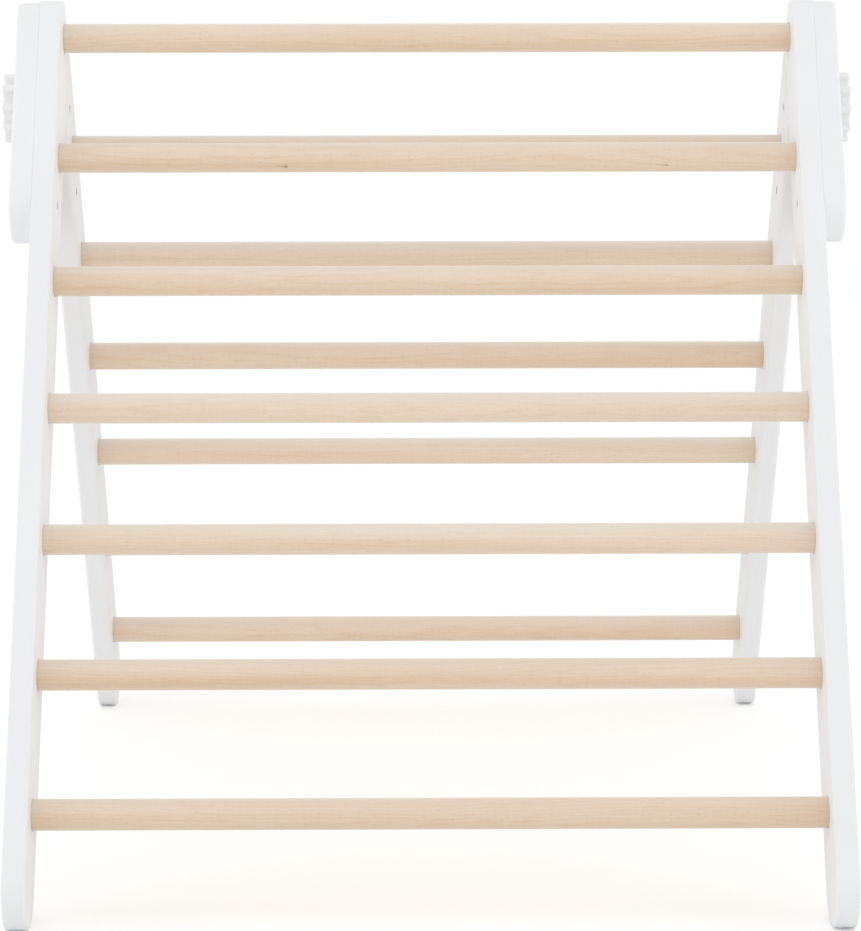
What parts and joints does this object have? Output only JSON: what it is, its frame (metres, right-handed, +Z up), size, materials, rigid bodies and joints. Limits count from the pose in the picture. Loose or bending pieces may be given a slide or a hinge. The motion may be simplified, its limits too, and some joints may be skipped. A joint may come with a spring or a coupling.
{
  "type": "folding climbing triangle",
  "caption": "Two rung ladders joined at the head by hinge plates into an A-shaped climbing frame for small children, with lobed clamp knobs that lock the fold.",
  "frame": {"origin": "on the floor, midway between the two side frames and midway between the front and rear feet", "axes": "+X to the object's right seen from the front, +Y from the front ladder to the rear ladder, +Z up"},
  "size_m": [0.8866, 0.9654, 0.8557],
  "materials": {
    "white_paint": "satin white paint on wood",
    "beech": "clear matt lacquer on beech",
    "knob_plastic": "satin moulded plastic",
    "nylon": "plain nylon",
    "steel": "zinc-plated steel",
    "zinc": "die-cast zinc alloy"
  },
  "bodies": {
    "front_ladder": {"front_left_rail": "white_paint", "front_right_rail": "white_paint", "front_rung_1": "beech", "front_rung_2": "beech", "front_rung_3": "beech", "front_rung_4": "beech", "front_rung_5": "beech", "front_rung_6": "beech", "front_rung_7": "beech", "left_hinge_plate": "white_paint", "right_hinge_plate": "white_paint", "front_rung_screws": "steel", "plate_screws": "steel", "plate_bolts": "steel", "front_inserts": "zinc"},
    "rear_ladder": {"rear_left_rail": "white_paint", "rear_right_rail": "white_paint", "rear_rung_1": "beech", "rear_rung_2": "beech", "rear_rung_3": "beech", "rear_rung_4": "beech", "rear_rung_5": "beech", "rear_rung_6": "beech", "rear_rung_screws": "steel", "rear_inserts": "zinc", "pivot_bolts": "steel", "pivot_washers": "steel", "spacer_washers": "nylon"},
    "left_clamp_washer": {"left_knob_washer": "steel"},
    "left_clamp_knob": {"left_knob": "knob_plastic", "left_knob_stud": "steel"},
    "right_clamp_washer": {"right_knob_washer": "steel"},
    "right_clamp_knob": {"right_knob": "knob_plastic", "right_knob_stud": "steel"}
  },
  "joints": [
    {"name": "fold", "type": "hinge", "parent": "front_ladder", "child": "rear_ladder", "pos_m": [0, 0.0895, 0.65139], "axis": [-1, 0, 0], "range_deg": [0, 65]},
    {"name": "left_knob_travel", "type": "slide", "parent": "rear_ladder", "child": "left_clamp_washer", "axis": [-1, 0, 0], "range_m": [0, 0.00251]},
    {"name": "left_knob_turn", "type": "hinge", "parent": "left_clamp_washer", "child": "left_clamp_knob", "pos_m": [-0.425, 0.0365, 0.74319], "axis": [-1, 0, 0], "range_deg": [0, 720]},
    {"name": "right_knob_travel", "type": "slide", "parent": "rear_ladder", "child": "right_clamp_washer", "axis": [1, 0, 0], "range_m": [0, 0.00251]},
    {"name": "right_knob_turn", "type": "hinge", "parent": "right_clamp_washer", "child": "right_clamp_knob", "pos_m": [0.425, 0.0365, 0.74319], "axis": [1, 0, 0], "range_deg": [0, 720]}
  ],
  "couplings": [
    {"joint": "left_knob_travel", "follows": "left_knob_turn", "m_per_rad": 0.00019894},
    {"joint": "right_knob_travel", "follows": "right_knob_turn", "m_per_rad": 0.00019894}
  ]
}
